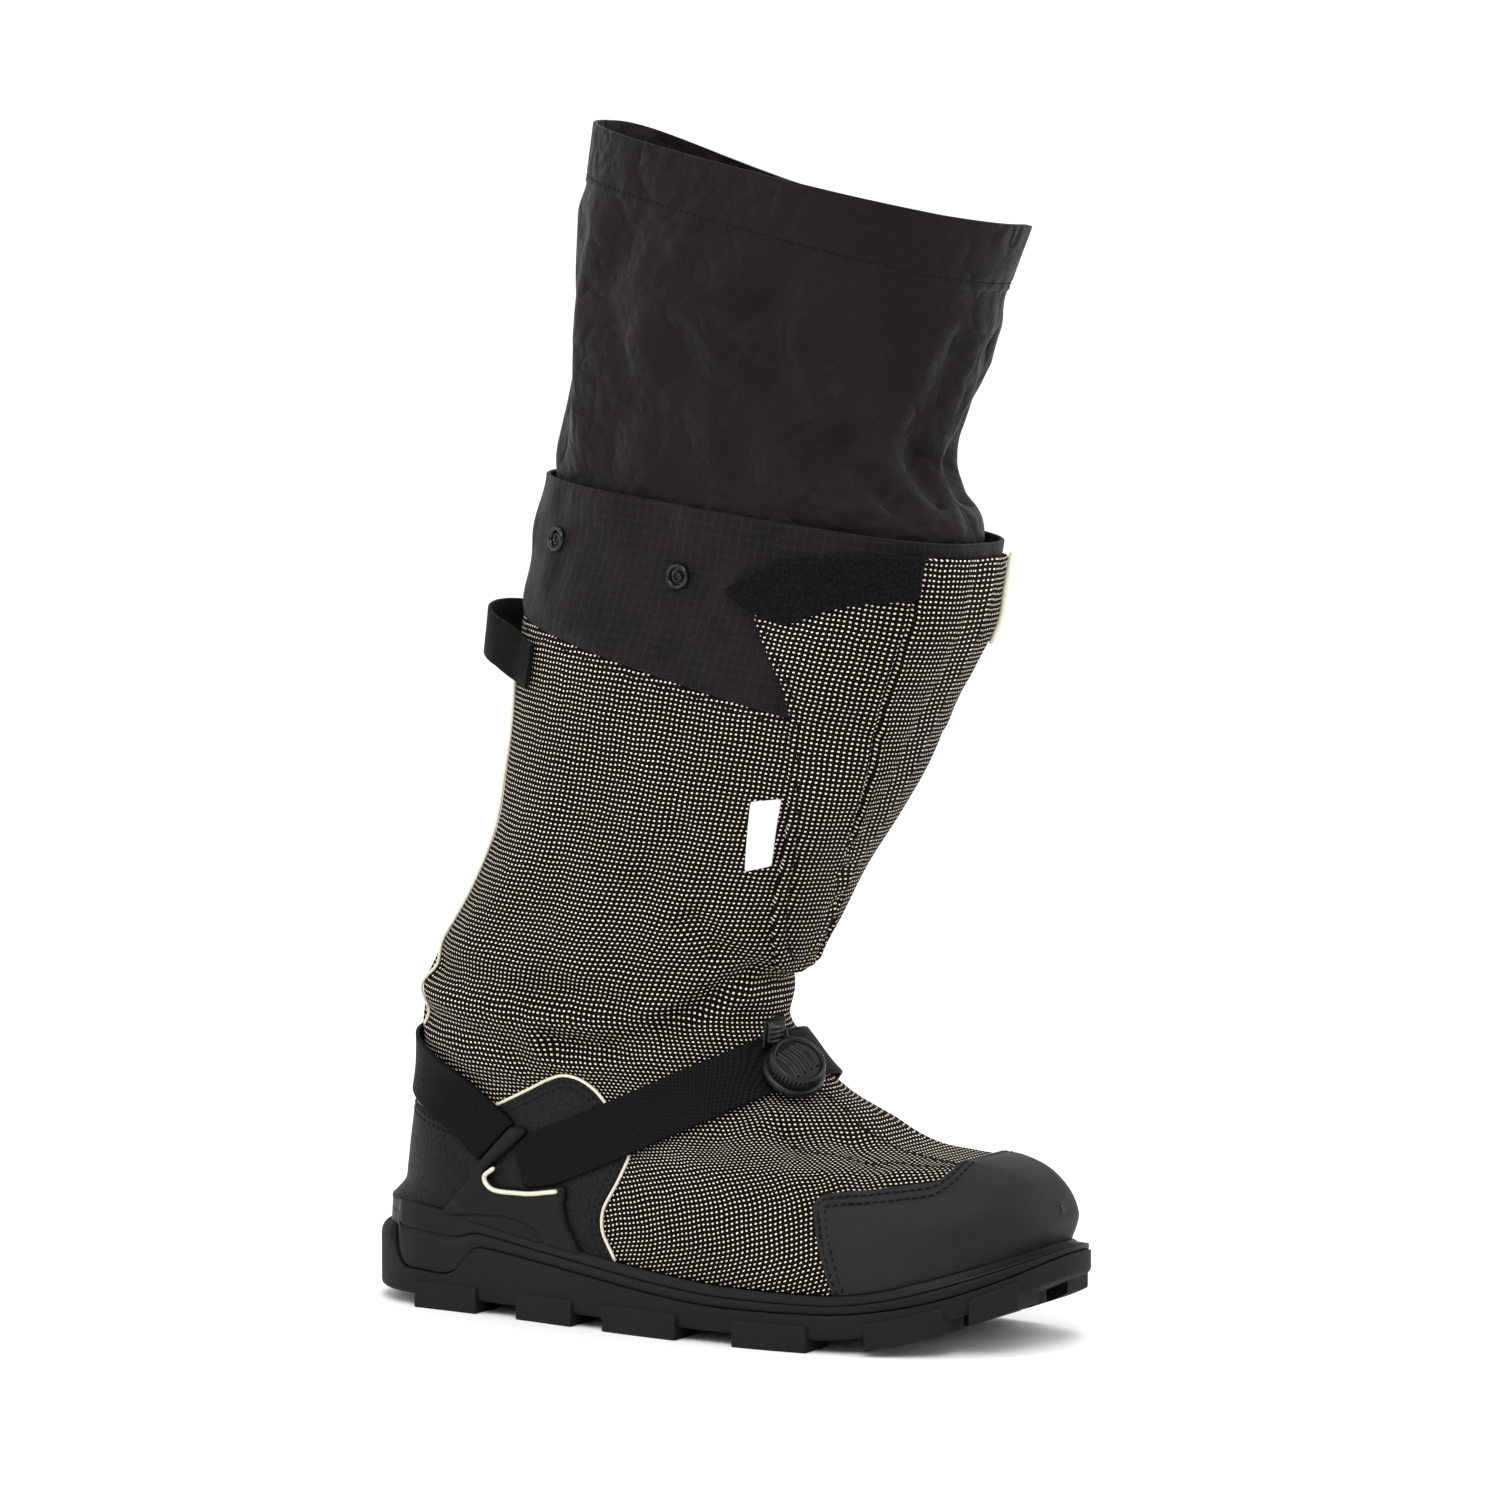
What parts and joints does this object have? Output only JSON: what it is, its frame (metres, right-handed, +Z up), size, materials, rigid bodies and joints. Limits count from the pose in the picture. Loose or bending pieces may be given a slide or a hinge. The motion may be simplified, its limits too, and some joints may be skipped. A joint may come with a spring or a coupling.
{
  "type": "overshoe",
  "caption": "Tall winter overshoe for the right foot: lugged rubber sole, dotted cloth upper with rubber caps, strap with a dial, storm collar and gaiter.",
  "frame": {"origin": "On the floor, under the centre of the heel's round end.", "axes": "+X runs to the toe, +Y to the inner side of the foot, +Z up."},
  "size_m": [0.335, 0.1227, 0.5141],
  "materials": {
    "rubber": "satin",
    "moulded": "matt",
    "dotted": "matt",
    "nylon": "matt",
    "ripstop": "matt",
    "webbing": "matt",
    "cream": "satin",
    "white": "matt",
    "plastic": "gloss"
  },
  "bodies": {
    "root": {"outsole": "rubber", "midsole": "rubber", "insole": "webbing", "closure_tab": "webbing", "instep_strap": "webbing", "heel_strap": "webbing", "pull_loop": "webbing", "upper": "dotted", "front_flap": "dotted", "storm_collar": "ripstop", "gaiter": "nylon", "toe_cap": "moulded", "heel_counter": "moulded", "side_wing_lateral": "moulded", "side_wing_medial": "moulded", "side_label": "white", "dial_housing": "plastic", "dial_knob": "plastic", "ladder_strap": "plastic", "collar_snap_1": "plastic", "collar_snap_2": "plastic", "back_piping": "cream", "counter_piping": "cream", "wing_trim_lateral": "cream", "wing_trim_medial": "cream", "flap_trim": "cream"}
  },
  "joints": []
}
